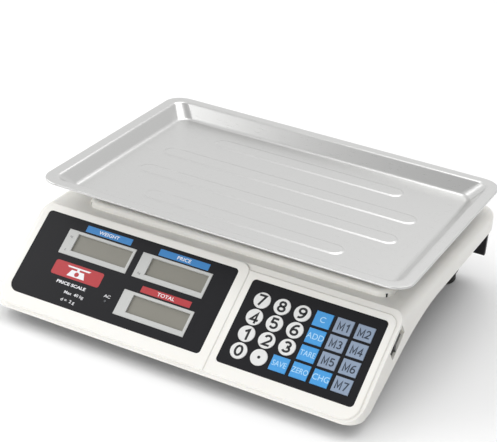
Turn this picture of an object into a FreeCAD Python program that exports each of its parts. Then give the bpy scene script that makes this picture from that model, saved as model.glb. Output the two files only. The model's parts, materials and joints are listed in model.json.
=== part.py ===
import FreeCAD, Part
import os
import re

import Sketcher

# Price-computing counter scale: a stainless tray on a load cell, over a white moulded housing whose
# sloped front carries three displays and a keypad, closed below by a black base on four feet.
# Frame: +X to the right of the person at the keys, +Y away from them, +Z up, ground at z = 0.
# The sloped panel has a frame of its own: u across (along X), v up the slope, w out of the surface.

doc = FreeCAD.newDocument("price_scale")
sheet = doc.addObject("Spreadsheet::Sheet", "dims")

# ---------------------------------------------------------------- driving dimensions, millimetres
DIMENSIONS = [
    # stainless tray
    ("platter_width", 340), ("platter_depth", 238), ("platter_y", 31.5), ("platter_corner", 18),
    ("rim_top", 100), ("pan_drop", 12), ("gauge", 0.8), ("flange", 10), ("wall_run", 11), ("hem", 1.6),
    ("pan_floor_round", 6), ("pan_rim_round", 4),
    ("rib_width", 19), ("rib_rise", 0.6), ("rib_slope", 74), ("rib_pitch", 44), ("rib_long", 250),
    ("rib_short", 190),
    # white housing
    ("shell_width", 336), ("shell_depth", 311), ("shell_corner", 15), ("wall", 3), ("deck_round", 8),
    ("deck_top", 75), ("platform_top", 81), ("platform_width", 284), ("platform_x", 7),
    ("platform_front", -64.5), ("platform_rear", 141), ("platform_round", 4.5), ("sill", 55),
    ("keel_y", -128.8), ("keel_z", 11.5), ("keel_angle", 25), ("keel_radius", 200),
    # sloped panel
    ("slope", 37.6), ("panel_y", -145.8), ("panel_z", 23), ("border_drop", 2),
    ("plateau_half", 165), ("plateau_low", -11.6), ("plateau_split", 33),
    ("left_top", 87), ("right_top", 82.5), ("right_drop", 0.8), ("film", 0.5), ("film_corner", 3.5),
    ("film_gap", 0.1), ("film_big_corner", 9), ("field_corner", 9), ("field_low_corner", 13),
    ("display_left", -158.9), ("display_right", 25.2), ("display_low", 0), ("display_high", 79.7),
    ("pad_left", 39.6), ("pad_right", 158.9), ("pad_low", -0.4), ("pad_high", 76.1),
    # liquid crystal displays
    ("lcd_width", 66), ("lcd_height", 23.5), ("lcd_left", -132.4), ("lcd_right", -60),
    ("lcd_upper", 45), ("lcd_lower", 9), ("glass_width", 53.5), ("glass_height", 16.5),
    ("glass_in", 10), ("glass_up", 4.5), ("lcd_deep", 1.5), ("bezel_proud", 0.3),
    ("lcd_gap", 0.2), ("bezel_rim", 1.5), ("lcd_thick", 5.5), ("panel_post", 2),
    # keys
    ("key_first", 54.5), ("key_row", 60.1), ("key_pitch_u", 17.93), ("key_pitch_v", 15.4),
    ("key_round", 14.2), ("key_wide", 14.7), ("key_tall", 13), ("key_gap", 0.2), ("key_proud", 0.5),
    ("key_travel", 0.6), ("ear_wide", 16.6), ("ear_tall", 14.3), ("ear_thick", 0.8), ("plunger", 2),
    ("board", 1.6), ("dome", 0.3), ("dome_low", 4), ("dome_high", 2.6), ("key_edge", 0.35),
    # screws and posts of the mouldings
    ("post", 4.5), ("post_hole", 1.6), ("screw", 1.5), ("screw_head", 2.9), ("head_deep", 1.6),
    ("cross_long", 3.4), ("cross_wide", 0.7), ("tub_bite", 6), ("lip_bite", 2.5),
    # black base
    ("tub_half", 120), ("tub_front", -98), ("tub_rear", 136), ("tub_low", 12),
    ("tail_half", 164), ("tail_core", 119), ("tail_rear", 152), ("tail_low", 26), ("tail_plate", 5),
    ("base_show", 1), ("base_gap", 0.4), ("belly_up", 3),
    ("foot_x", 127), ("foot_front", -88), ("foot_rear", 131), ("foot_radius", 18),
    ("foot_pad", 7), ("stud_long", 20), ("pod_low", 9), ("pod_flare", 0.31), ("stud", 4), ("nut_low", 14),
    # weighing frame
    ("cell_length", 130), ("cell_width", 30), ("cell_height", 22), ("cell_low", 34),
    ("bolt_first", 7.5), ("bolt_pitch", 15), ("bolt", 3), ("plate_low", 24), ("plate", 2),
    ("frame_screw", 1.85), ("frame_head", 3.8), ("recess_long", 5), ("recess_wide", 0.9),
    ("spacer_long", 30), ("boss_up", 4), ("stop", 2.5), ("main_board_up", 8),
    ("arm_top", 85.7), ("arm_thick", 3.5), ("arm_half", 124), ("arm_reach", 75),
    # power switch in the right flank
    ("switch_v", 65.5), ("switch_w", -12.3), ("switch_face", 164.4), ("rocker_half", 7.6),
    ("rocker_tilt", 9),
    # power parts
    ("battery_side", 46.5), ("battery_long", 100), ("battery_x", -103.5), ("battery_y", 12),
    ("hatch_low", 12), ("hatch", 2),
    ("inlet_y", 45), ("inlet_z", 36), ("core_x", 48), ("core_y", 42),
]
ALIASES = set()
for row, (alias, value) in enumerate(DIMENSIONS, start=1):
    sheet.set("A%d" % row, alias)
    sheet.set("B%d" % row, str(value))
    sheet.setAlias("B%d" % row, alias)
    ALIASES.add(alias)
doc.recompute()


# ---------------------------------------------------------------- formulas, placements, solids
def link(formula):
    """A formula of aliases as a FreeCAD expression on the sheet."""
    def name_cell(word):
        return "dims." + word.group() if word.group() in ALIASES else word.group()
    return re.sub(r"[a-z][a-z_0-9]*", name_cell, str(formula))


def number(formula):
    """The present value of a formula."""
    return float(sheet.evalExpression(link(formula)))


def bind(item, **formulas):
    """Tie an object's sizes to formulas of the sheet's cells."""
    for size, formula in formulas.items():
        item.setExpression(size, link(formula))


def place(item, x, y, z, where="Placement"):
    """Tie an object's position to formulas."""
    for axis, formula in zip("xyz", (x, y, z)):
        item.setExpression("%s.Base.%s" % (where, axis), link(formula))


def tilt(item, lift="0", where="Placement"):
    """Lay an object on the sloped panel, `lift` above its surface along the normal."""
    setattr(item, where, FreeCAD.Placement(FreeCAD.Vector(), FreeCAD.Rotation(FreeCAD.Vector(1, 0, 0), 1)))
    item.setExpression(where + ".Rotation.Angle", link("slope"))
    place(item, "0", "panel_y - (%s) * sin(slope)" % lift, "panel_z + (%s) * cos(slope)" % lift, where)


def slope_y(v, w):
    """Formula for the height-profile coordinate y of the panel point (v, w)."""
    return "panel_y + (%s) * cos(slope) - (%s) * sin(slope)" % (v, w)


def slope_z(v, w):
    """Formula for z of the panel point (v, w)."""
    return "panel_z + (%s) * sin(slope) + (%s) * cos(slope)" % (v, w)


def new_body(label):
    """An empty body that will be one sub-part, or one part of a boolean."""
    body = doc.addObject("PartDesign::Body", label)
    body.Label = label
    return body


def box(body, size, corner, cut=False):
    """Add or cut a box of formulas `size` whose lowest corner is at formulas `corner`."""
    kind = "PartDesign::SubtractiveBox" if cut else "PartDesign::AdditiveBox"
    block = body.newObject(kind, body.Name + "_box")
    bind(block, Length=size[0], Width=size[1], Height=size[2])
    place(block, *corner)
    return block


def rod(body, radius, length, centre, cut=False, across=False):
    """Add or cut a cylinder that starts at formulas `centre` and runs up, or across along x."""
    kind = "PartDesign::SubtractiveCylinder" if cut else "PartDesign::AdditiveCylinder"
    cylinder = body.newObject(kind, body.Name + "_rod")
    bind(cylinder, Radius=radius, Height=length)
    turn = FreeCAD.Rotation(FreeCAD.Vector(0, 1, 0), 90 if across else 0)
    cylinder.Placement = FreeCAD.Placement(FreeCAD.Vector(), turn)
    place(cylinder, *centre)
    return cylinder


def taper(body, low_radius, high_radius, length, centre):
    """Add an upright cone."""
    cone = body.newObject("PartDesign::AdditiveCone", body.Name + "_cone")
    bind(cone, Radius1=low_radius, Radius2=high_radius, Height=length)
    place(cone, *centre)
    return cone


def new_sketch(body, plane):
    """A sketch on one of the body's own origin planes."""
    sketch = body.newObject("Sketcher::SketchObject", body.Name + "_sketch")
    for feature in body.Origin.OriginFeatures:
        if feature.Role == plane:
            sketch.AttachmentSupport = [(feature, "")]
    sketch.MapMode = "FlatFace"
    return sketch


def pin_point(sketch, geometry, point, x, y):
    """Hold one sketch point at formulas (x, y) measured from the sketch's origin."""
    for kind, formula, axis in (("DistanceX", x, -2), ("DistanceY", y, -1)):
        value = number(formula)
        if abs(value) < 1e-9:
            sketch.addConstraint(Sketcher.Constraint("PointOnObject", geometry, point, axis))
            continue
        ends = (-1, 1, geometry, point) if value > 0 else (geometry, point, -1, 1)
        index = sketch.addConstraint(Sketcher.Constraint(kind, *ends, abs(value)))
        signed = formula if value > 0 else "-(%s)" % formula
        sketch.setExpression("Constraints[%d]" % index, link(signed))


def polygon(body, plane, corners):
    """A closed sketch with straight sides through formula pairs."""
    sketch = new_sketch(body, plane)
    spots = [FreeCAD.Vector(number(x), number(y), 0) for x, y in corners]
    count = len(spots)
    for index in range(count):
        sketch.addGeometry(Part.LineSegment(spots[index], spots[(index + 1) % count]), False)
    for index in range(count):
        sketch.addConstraint(Sketcher.Constraint("Coincident", index, 2, (index + 1) % count, 1))
    for index, (x, y) in enumerate(corners):
        pin_point(sketch, index, 1, x, y)
    return sketch


def rounded_rectangle(body, width, depth, radius, x, y, z):
    """A level sketch of a rectangle with round corners, centred on formulas (x, y) at height z."""
    sketch = new_sketch(body, "XY_Plane")
    place(sketch, x, y, z, "AttachmentOffset")
    half_x, half_y, round_off = number(width) / 2, number(depth) / 2, number(radius)
    inner_x, inner_y = half_x - round_off, half_y - round_off
    sides = [((-inner_x, -half_y), (inner_x, -half_y)), ((half_x, -inner_y), (half_x, inner_y)),
             ((inner_x, half_y), (-inner_x, half_y)), ((-half_x, inner_y), (-half_x, -inner_y))]
    for start, end in sides:
        sketch.addGeometry(Part.LineSegment(FreeCAD.Vector(*start, 0), FreeCAD.Vector(*end, 0)), False)
    quarter = 1.5707963267948966
    signs = [(1, -1), (1, 1), (-1, 1), (-1, -1)]
    for index, (side_x, side_y) in enumerate(signs):
        circle = Part.Circle(FreeCAD.Vector(side_x * inner_x, side_y * inner_y, 0),
                             FreeCAD.Vector(0, 0, 1), round_off)
        sketch.addGeometry(Part.ArcOfCircle(circle, (index - 1) * quarter, index * quarter), False)
    for index in range(4):
        sketch.addConstraint(Sketcher.Constraint("Tangent", index, 2, 4 + index, 1))
        sketch.addConstraint(Sketcher.Constraint("Tangent", 4 + index, 2, (index + 1) % 4, 1))
    for index, (side_x, side_y) in enumerate(signs):
        pin_point(sketch, 4 + index, 3, "%d * ((%s) / 2 - (%s))" % (side_x, width, radius),
                  "%d * ((%s) / 2 - (%s))" % (side_y, depth, radius))
    round_index = sketch.addConstraint(Sketcher.Constraint("Radius", 4, round_off))
    sketch.setExpression("Constraints[%d]" % round_index, link(radius))
    return sketch


def pad(body, sketch, length, both_ways=False, cut=False):
    """Pad or pocket a sketch; a pocket here runs the same way as a pad would."""
    feature = body.newObject("PartDesign::Pocket" if cut else "PartDesign::Pad", body.Name + "_pad")
    feature.Profile = sketch
    feature.Reversed = cut
    if both_ways:
        feature.SideType = "Symmetric"
    bind(feature, Length=length)
    return feature


def round_edges(body, radius, chosen, kind="Fillet"):
    """Round (or chamfer) the edges of the body's newest feature that `chosen` accepts."""
    doc.recompute()
    base = body.Tip
    names = ["Edge%d" % (i + 1) for i, edge in enumerate(base.Shape.Edges) if chosen(edge)]
    if not names:
        raise RuntimeError("no edge to round on " + body.Label)
    feature = body.newObject("PartDesign::" + kind, body.Name + "_round")
    feature.Base = (base, names)
    bind(feature, **{"Radius" if kind == "Fillet" else "Size": radius})
    return feature


def upright(edge):
    """True for an edge that runs along the local z axis."""
    extent = edge.BoundBox
    return extent.XLength < 1e-4 and extent.YLength < 1e-4


def level_at(height):
    """Chooser of the edges that lie in the plane z = height."""
    def chosen(edge):
        return abs(edge.BoundBox.ZMin - height) < 1e-4 and abs(edge.BoundBox.ZMax - height) < 1e-4
    return chosen


def join(label, shapes):
    """A fusion of several objects."""
    fusion = doc.addObject("Part::MultiFuse", label)
    fusion.Label = label
    fusion.Shapes = shapes
    return fusion


def cut_from(label, base, tool):
    """One object less another."""
    rest = doc.addObject("Part::Cut", label)
    rest.Label = label
    rest.Base = base
    rest.Tool = tool
    return rest


nodes = []


def keep(part):
    """Count an object as a sub-part of the scale."""
    nodes.append(part)
    return part


# ---------------------------------------------------------------- stainless tray
platter = keep(new_body("platter"))
outer_hem = rounded_rectangle(platter, "platter_width", "platter_depth", "platter_corner",
                              "0", "platter_y", "rim_top - hem")
pad(platter, outer_hem, "hem")
under_hem = rounded_rectangle(platter, "platter_width - 2 * gauge", "platter_depth - 2 * gauge",
                              "platter_corner - gauge", "0", "platter_y", "rim_top - hem")
pad(platter, under_hem, "hem - gauge", cut=True)


def tray_section(skin, height):
    """Outline of the tray's sloped wall at a height, `skin` outside its inner face."""
    inset = "(flange + wall_run * (rim_top - (%s)) / pan_drop - (%s))" % (height, skin)
    return rounded_rectangle(platter, "platter_width - 2 * " + inset, "platter_depth - 2 * " + inset,
                             "platter_corner - flange + 2 + 0.2 * (rim_top - (%s)) + (%s)" % (height, skin),
                             "0", "platter_y", height)


def tray_loft(skin, low, high, cut=False):
    """The tray's bowl between two heights."""
    kind = "PartDesign::SubtractiveLoft" if cut else "PartDesign::AdditiveLoft"
    sections = [tray_section(skin, low), tray_section(skin, high)]
    loft = platter.newObject(kind, platter.Name + "_loft")
    loft.Profile = sections[0]
    loft.Sections = [sections[1]]
    loft.Ruled = True


tray_loft("1.4 * gauge", "rim_top - pan_drop - gauge", "rim_top")
tray_loft("0", "rim_top - pan_drop", "rim_top", cut=True)
round_edges(platter, "pan_floor_round", level_at(number("rim_top - pan_drop")))


def rim_edge(inner):
    """Chooser of the tray's top edges: those of its mouth, or those round its outside."""
    at_rim = level_at(number("rim_top"))
    mouth_x, mouth_y = number("platter_width / 2 - flange / 2"), number("platter_depth / 2 - flange / 2")

    def chosen(edge):
        extent = edge.BoundBox
        reach_y = max(abs(extent.YMin - number("platter_y")), abs(extent.YMax - number("platter_y")))
        inside = max(abs(extent.XMin), abs(extent.XMax)) < mouth_x and reach_y < mouth_y
        return at_rim(edge) and inside == inner
    return chosen


round_edges(platter, "pan_rim_round", rim_edge(inner=True))
round_edges(platter, "hem - gauge", rim_edge(inner=False))
doc.recompute()
for step in range(4):
    rib_length = "rib_short" if step in (0, 3) else "rib_long"
    rib = rounded_rectangle(platter, rib_length, "rib_width", "rib_width / 2 - 0.01",
                            "0", "platter_y + (%d - 1.5) * rib_pitch" % step, "rim_top - pan_drop")
    raised = pad(platter, rib, "rib_rise")
    bind(raised, TaperAngle="-rib_slope")

# ---------------------------------------------------------------- white housing, outside
front = "-shell_depth / 2"
rear = "shell_depth / 2"
keel_top_y = "(keel_y + (sill - keel_z) / tan(keel_angle))"
shell_outer = new_body("shell_outer")
slope_start = "((%s - panel_y - border_drop * sin(slope)) / cos(slope))" % front
slope_end = "((deck_top - panel_z + border_drop * cos(slope)) / sin(slope))"
side_view = [
    (front, "keel_z"), ("keel_y", "keel_z"), (keel_top_y, "sill"), (rear, "sill"), (rear, "deck_top"),
    (slope_y(slope_end, "-border_drop"), "deck_top"),
    (front, slope_z(slope_start, "-border_drop")),
]
pad(shell_outer, polygon(shell_outer, "YZ_Plane", side_view), "shell_width", both_ways=True)
round_edges(shell_outer, "shell_corner", upright)


def keel_corner(edge):
    """The long edge where the sloping underside meets the level sill."""
    middle = edge.CenterOfMass
    return (edge.BoundBox.XLength > 100 and abs(middle.z - number("sill")) < 1e-3
            and abs(middle.y - number(keel_top_y)) < 1e-3)


round_edges(shell_outer, "keel_radius", keel_corner)
round_edges(shell_outer, "deck_round", lambda edge: abs(edge.BoundBox.ZMax - number("deck_top")) < 1e-3
            and edge.BoundBox.ZLength < 1e-3 and edge.CenterOfMass.y > number("platform_front"))

platform = new_body("platform")
deck_plan = rounded_rectangle(platform, "platform_width", "platform_rear - platform_front", "12",
                              "platform_x", "(platform_rear + platform_front) / 2", "deck_top - wall")
pad(platform, deck_plan, "platform_top - deck_top + wall")
round_edges(platform, "platform_round", level_at(number("platform_top")))


def plateau(label, left, right, top, surface, corners):
    """One raised field of the sloped panel; `corners` gives its plan radii."""
    field = new_body(label)
    tilt(field)
    field_size = ["%s - (%s)" % (right, left), "%s - plateau_low" % top,
                  "border_drop + wall - (%s)" % surface]
    box(field, field_size, [left, "plateau_low", "-border_drop - wall"])
    for radius, (u, v) in corners:
        corner_u, corner_v = number(u), number(v)

        def at_corner(edge, u=corner_u, v=corner_v):
            middle = edge.CenterOfMass
            return upright(edge) and abs(middle.x - u) < 1e-3 and abs(middle.y - v) < 1e-3
        round_edges(field, radius, at_corner)
    round_edges(field, "1.2", level_at(-number(surface)))
    return field


left_plateau = plateau("left_plateau", "-plateau_half", "plateau_split + 1", "left_top", "0",
                       [("field_corner", ("-plateau_half", "left_top")),
                        ("field_corner", ("plateau_split + 1", "left_top")),
                        ("field_low_corner", ("-plateau_half", "plateau_low"))])
right_plateau = plateau("right_plateau", "plateau_split - 4", "plateau_half", "right_top", "right_drop",
                        [("field_corner", ("plateau_half", "right_top")),
                         ("field_low_corner", ("plateau_half", "plateau_low"))])
shell_block = join("shell_block", [shell_outer, platform, left_plateau, right_plateau])

# ---------------------------------------------------------------- white housing, hollow and openings
cavity = new_body("cavity")
skin_w = "(-border_drop - wall)"
hollow_front = "(%s + wall)" % front
hollow_v = "((%s - panel_y + %s * sin(slope)) / cos(slope))" % (hollow_front, skin_w)
roof_v = "((deck_top - wall - panel_z - %s * cos(slope)) / sin(slope))" % skin_w
hollow_view = [
    (hollow_front, "-10"), (rear + " - wall", "-10"), (rear + " - wall", "deck_top - wall"),
    (slope_y(roof_v, skin_w), "deck_top - wall"),
    (hollow_front, slope_z(hollow_v, skin_w)),
]
pad(cavity, polygon(cavity, "YZ_Plane", hollow_view), "shell_width - 2 * wall", both_ways=True)
round_edges(cavity, "shell_corner - wall", upright)
roof = number("deck_top - wall")
round_edges(cavity, "deck_round - wall", lambda edge: abs(edge.BoundBox.ZMax - roof) < 1e-3
            and edge.BoundBox.ZLength < 1e-3 and edge.CenterOfMass.y > number("platform_front"))
box(cavity, ["platform_width - 2 * wall", "platform_rear - platform_front - 2 * wall", "20"],
    ["platform_x - platform_width / 2 + wall", "platform_front + wall", "platform_top - wall - 20"])
# Six screws pull the base up to the housing: four in the tub's corners, two in the front lip.
TUB_SCREWS = [("-92", "125"), ("92", "125"), ("-108", "-30"), ("108", "-30")]
LIP_SCREWS = [("-146", "-145.5"), ("32.5", "-145.5")]
SCREWS = [(x, y, "tub_low", "sill + belly_up + 1", "tub_bite") for x, y in TUB_SCREWS]
SCREWS += [(x, y, "keel_z - base_show", "keel_z + belly_up + 0.2", "lip_bite") for x, y in LIP_SCREWS]
for x, y, screw_low, post_low, bite in SCREWS:
    rod(cavity, "post", "80", [x, y, post_low], cut=True)
    rod(cavity, "post_hole", bite + " + 1", [x, y, post_low])

# Solid blocks that stand inside the hollow under the panel: display posts and the switch pocket.
panel_blocks = new_body("panel_blocks")
tilt(panel_blocks)
DISPLAY_POSTS = [("-146", "72"), ("12", "72"), ("-146", "8"), ("12", "8")]
for u, v in DISPLAY_POSTS:
    rod(panel_blocks, "3", "panel_post", [u, v, "-border_drop - wall - panel_post"])
box(panel_blocks, ["shell_width / 2 - pad_right - 0.6", "34", "22"],
    ["pad_right + 0.6", "switch_v - 17", "switch_w - 10"])
hollow = cut_from("hollow", cavity, panel_blocks)

# Through openings of the panel, in panel axes.
windows = new_body("windows")
tilt(windows)
box(windows, ["display_right - display_left", "display_high - display_low", "5"],
    ["display_left", "display_low", "-film"])
box(windows, ["pad_right - pad_left", "pad_high - pad_low", "5"],
    ["pad_left", "pad_low", "-right_drop - film"])


def film_corner_edges(left, low, right, high, skip=()):
    """Chooser of the upright edges at a film's corners, apart from the skipped ones."""
    spots = [(u, v) for u in (left, right) for v in (low, high) if (u, v) not in skip]
    places = [(number(u), number(v)) for u, v in spots]

    def chosen(edge):
        middle = edge.CenterOfMass
        return upright(edge) and any(abs(middle.x - u) < 1e-3 and abs(middle.y - v) < 1e-3
                                     for u, v in places)
    return chosen


DISPLAY = ("display_left", "display_low", "display_right", "display_high")
KEYPAD = ("pad_left", "pad_low", "pad_right", "pad_high")
BIG_CORNER = ("display_left", "display_low")


round_edges(windows, "film_corner", film_corner_edges(*DISPLAY, skip=[BIG_CORNER]))
round_edges(windows, "film_big_corner", film_corner_edges(*BIG_CORNER, *BIG_CORNER))
round_edges(windows, "film_corner", film_corner_edges(*KEYPAD))
LCD_SPOTS = {"weight": ("lcd_left", "lcd_upper"), "price": ("lcd_right", "lcd_upper"),
             "total": ("lcd_right", "lcd_lower")}
for u, v in LCD_SPOTS.values():
    box(windows, ["lcd_width + 2 * lcd_gap", "lcd_height + 2 * lcd_gap", "10"],
        [u + " - lcd_gap", v + " - lcd_gap", "-border_drop - wall - 1"])
box(windows, ["pad_right - pad_left - 7", "pad_high - pad_low - 7", "10"],
    ["pad_left + 3.5", "pad_low + 3.5", "-border_drop - wall - 1"])
# switch pocket in the right flank, with the hole for the switch behind it
box(windows, ["8", "26", "13"], ["switch_face", "switch_v - 13", "switch_w - 6.5"])
box(windows, ["20", "17.4", "9.4"], ["switch_face - 14", "switch_v - 8.7", "switch_w - 4.7"])

openings = new_body("openings")
box(openings, ["48", "52", "30"], ["-24", "platter_y + 24", "deck_top - 15"])
rod(openings, "9.2", "30", ["70", "-8", "deck_top - 15"])
upper_shell = keep(cut_from("upper_shell", shell_block, join("shell_voids", [hollow, windows, openings])))

# ---------------------------------------------------------------- panel films
display_film = keep(new_body("display_overlay"))
tilt(display_film)
box(display_film, ["display_right - display_left - 2 * film_gap",
                   "display_high - display_low - 2 * film_gap", "film"],
    ["display_left + film_gap", "display_low + film_gap", "-film"])


def film_sides(left, low, right, high):
    """The four sides of a film that lies just inside its recess."""
    return (left + " + film_gap", low + " + film_gap", right + " - film_gap", high + " - film_gap")


display_edges = film_sides(*DISPLAY)
round_edges(display_film, "film_corner", film_corner_edges(*display_edges, skip=[display_edges[:2]]))
round_edges(display_film, "film_big_corner", film_corner_edges(*display_edges[:2], *display_edges[:2]))
for u, v in LCD_SPOTS.values():
    box(display_film, ["lcd_width + 1.5 * lcd_gap", "lcd_height + 1.5 * lcd_gap", "3"],
        [u + " - 0.75 * lcd_gap", v + " - 0.75 * lcd_gap", "-2"], cut=True)

# Keys by row, from the top row down; columns run left to right. Round keys carry the digits.
KEY_ROWS = [
    ["7", "8", "9", "clear", "m1", "m2"],
    ["4", "5", "6", "add", "m3", "m4"],
    ["1", "2", "3", "tare", "m5", "m6"],
    ["0", "point", "save", "zero", "change", "m7"],
]
ROUND_KEYS = set("0123456789") | {"point"}


def key_centre(row, column):
    """Formulas for a key's centre on the panel."""
    return "(key_first + %d * key_pitch_u)" % column, "(key_row - %d * key_pitch_v)" % row


def key_block(body, name, centre, low, height, grow="0", cut=False):
    """The round or square column of a key, `grow` larger all round."""
    u, v = centre
    if name in ROUND_KEYS:
        return rod(body, "key_round / 2 + (%s)" % grow, height, [u, v, low], cut=cut)
    corner = ["%s - key_wide / 2 - (%s)" % (u, grow), "%s - key_tall / 2 - (%s)" % (v, grow), low]
    return box(body, ["key_wide + 2 * (%s)" % grow, "key_tall + 2 * (%s)" % grow, height], corner, cut=cut)


keypad_film = keep(new_body("keypad_overlay"))
tilt(keypad_film, "-right_drop")
box(keypad_film, ["pad_right - pad_left - 2 * film_gap", "pad_high - pad_low - 2 * film_gap", "film"],
    ["pad_left + film_gap", "pad_low + film_gap", "-film"])
round_edges(keypad_film, "film_corner", film_corner_edges(*film_sides(*KEYPAD)))
board_top = "(right_drop - border_drop - wall)"
plunger_low = "%s + dome + key_travel + film_gap" % board_top
ear_top = "(-film - film_gap)"
key_board = keep(new_body("keypad_board"))
tilt(key_board, "-right_drop")
box(key_board, ["pad_right - pad_left", "pad_high - pad_low", "board"],
    ["pad_left", "pad_low", board_top + " - board"])
domes = keep(new_body("key_domes"))
tilt(domes, "-right_drop")
for row, names in enumerate(KEY_ROWS):
    for column, name in enumerate(names):
        centre = key_centre(row, column)
        key_block(keypad_film, name, centre, "-2", "4", grow="key_gap", cut=True)
        taper(domes, "dome_low", "dome_high", "dome", [*centre, board_top])
        key = keep(new_body("key_" + name))
        tilt(key, "-right_drop")
        key_block(key, name, centre, ear_top, "film + film_gap + key_proud")
        round_edges(key, "key_edge", level_at(number("key_proud")))
        box(key, ["ear_wide", "ear_tall", "ear_thick"],
            [centre[0] + " - ear_wide / 2", centre[1] + " - ear_tall / 2", ear_top + " - ear_thick"])
        rod(key, "plunger", "%s - ear_thick - (%s)" % (ear_top, plunger_low), [*centre, plunger_low])

# ---------------------------------------------------------------- front displays
bezels = keep(new_body("lcd_bezels"))
tilt(bezels)
for name, (u, v) in LCD_SPOTS.items():
    box(bezels, ["lcd_width", "lcd_height", "border_drop + wall + bezel_proud"],
        [u, v, "-border_drop - wall"])
round_edges(bezels, "0.3", level_at(number("bezel_proud")))
for name, (u, v) in LCD_SPOTS.items():
    box(bezels, ["glass_width", "glass_height", "4"],
        [u + " + glass_in", v + " + glass_up", "-lcd_deep - film_gap"], cut=True)
    box(bezels, ["lcd_width - 2 * bezel_rim", "lcd_height - 2 * bezel_rim",
                 "border_drop + wall - lcd_deep"],
        [u + " + bezel_rim", v + " + bezel_rim", "-border_drop - wall"], cut=True)
    lcd = keep(new_body(name + "_lcd"))
    tilt(lcd)
    box(lcd, ["lcd_width - 2 * bezel_rim - 2 * lcd_gap", "lcd_height - 2 * bezel_rim - 2 * lcd_gap",
              "lcd_thick"],
        [u + " + bezel_rim + lcd_gap", v + " + bezel_rim + lcd_gap", "-lcd_deep - lcd_thick"])

display_board = keep(new_body("display_board"))
tilt(display_board)
board_back = "(-border_drop - wall - panel_post - board)"
box(display_board, ["164", "70", "board"], ["-149", "5", board_back])
box(display_board, ["12", "12", "2"], ["-100", "16", board_back + " - 2"])
box(display_board, ["14", "9", "3"], ["-82", "17", board_back + " - 3"])

# ---------------------------------------------------------------- black base
belly = new_body("belly")
belly_front = "(%s + wall + base_gap)" % front
belly_rear = "(%s - wall - base_gap)" % rear
belly_view = [
    (belly_front, "keel_z - base_show"), ("keel_y", "keel_z - base_show"),
    (keel_top_y, "sill - base_show"), (belly_rear, "sill - base_show"), (belly_rear, "sill + belly_up"),
    (keel_top_y + " - 0.5", "sill + belly_up"), ("keel_y - 0.5", "keel_z + belly_up"),
    (belly_front + " + 4.2", "keel_z + belly_up"), (belly_front, "keel_z - 0.1"),
]
pad(belly, polygon(belly, "YZ_Plane", belly_view), "shell_width - 2 * (wall + base_gap)", both_ways=True)
round_edges(belly, "shell_corner - wall - base_gap", upright)


def belly_bends(edge):
    """Both long edges of the belly's bend, one over the other."""
    middle = edge.CenterOfMass
    return edge.BoundBox.XLength > 100 and abs(middle.y - number(keel_top_y)) < 1 and middle.z > 40


round_edges(belly, "keel_radius", belly_bends)

tub = new_body("tub")
tub_view = [
    ("tub_front", "tub_low"), ("tub_rear", "tub_low"), ("tub_rear", "sill + belly_up"),
    ("0", "sill + belly_up"), ("-50", "sill - 5"), ("tub_front", "sill - 27"),
]
pad(tub, polygon(tub, "YZ_Plane", tub_view), "2 * tub_half", both_ways=True)
round_edges(tub, "8", lambda edge: upright(edge) and edge.CenterOfMass.y < 0)
round_edges(tub, "2.5", level_at(number("tub_low")))

# The tail hangs at the rear: a plate across the full width, deeper in the middle for the rear displays.
tail = new_body("tail")
box(tail, ["2 * tail_half", "tail_plate", "sill - 0.3 - tail_low"],
    ["-tail_half", "tail_rear - tail_plate", "tail_low"])
round_edges(tail, "1.5", lambda edge: edge.CenterOfMass.y > number("tail_rear") - 1
            and (upright(edge) or edge.BoundBox.ZMax < number("tail_low") + 1))
box(tail, ["2 * tail_core", "tail_rear - tail_plate - tub_rear + 6", "sill - 0.3 - tail_low"],
    ["-tail_core", "tub_rear - 3", "tail_low"])

pods = new_body("pods")
FEET = {"front_left": ("-foot_x", "foot_front"), "front_right": ("foot_x", "foot_front"),
        "rear_left": ("-foot_x", "foot_rear"), "rear_right": ("foot_x", "foot_rear")}
for x, y in FEET.values():
    taper(pods, "foot_radius + 0.5", "foot_radius + 0.5 + pod_flare * (sill - pod_low)",
          "sill - pod_low", [x, y, "pod_low"])
under_belly = new_body("under_belly")
under_view = [
    (front, "0"), ("tail_rear", "0"), ("tail_rear", "sill + 1"), (keel_top_y, "sill + 1"),
    ("keel_y", "keel_z + 1"), (front, "keel_z + 1"),
]
pad(under_belly, polygon(under_belly, "YZ_Plane", under_view), "shell_width", both_ways=True)
legs = doc.addObject("Part::Common", "legs")
legs.Base = pods
legs.Tool = under_belly
base_block = join("base_block", [belly, tub, tail, legs])

base_voids = new_body("base_voids")
hollow_side = [
    ("tub_front + wall", "tub_low + wall"), ("tub_rear - wall", "tub_low + wall"),
    ("tub_rear - wall", "sill + 20"), ("0", "sill + 20"), ("-50", "sill + 10"),
    ("tub_front + wall", "sill - 10"),
]
pad(base_voids, polygon(base_voids, "YZ_Plane", hollow_side), "2 * tub_half - 2 * wall", both_ways=True)
box(base_voids, ["2 * tail_core - 2 * wall", "tail_rear - tub_rear - wall", "60"],
    ["-tail_core + wall", "tub_rear", "tail_low + wall"])
FRAME_SCREWS = [("-26", "-38"), ("26", "-38"), ("-26", "118"), ("26", "118")]
for x, y in FRAME_SCREWS:
    rod(base_voids, "post", "plate_low - tub_low - wall", [x, y, "tub_low + wall"], cut=True)
    rod(base_voids, "frame_screw + 0.05", "plate_low - tub_low", [x, y, "tub_low + wall"])
BOARD_POSTS = [("-70", "-88"), ("70", "-88"), ("-70", "-54"), ("70", "-54")]
for x, y in BOARD_POSTS:
    rod(base_voids, "3.5", "main_board_up - wall", [x, y, "tub_low + wall"], cut=True)

REAR_LCDS = ["-78", "0", "78"]
HATCH_SCREWS = [("battery_x + battery_side / 2", "battery_y - 3.6"),
                ("battery_x + battery_side / 2", "battery_y + battery_long + 3.6")]
rear_cuts = new_body("rear_cuts")
for x in REAR_LCDS:
    box(rear_cuts, ["60.4", "6", "21.4"], [x + " - 30.2", "tail_rear - 4", "tail_low + 3.3"])
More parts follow.
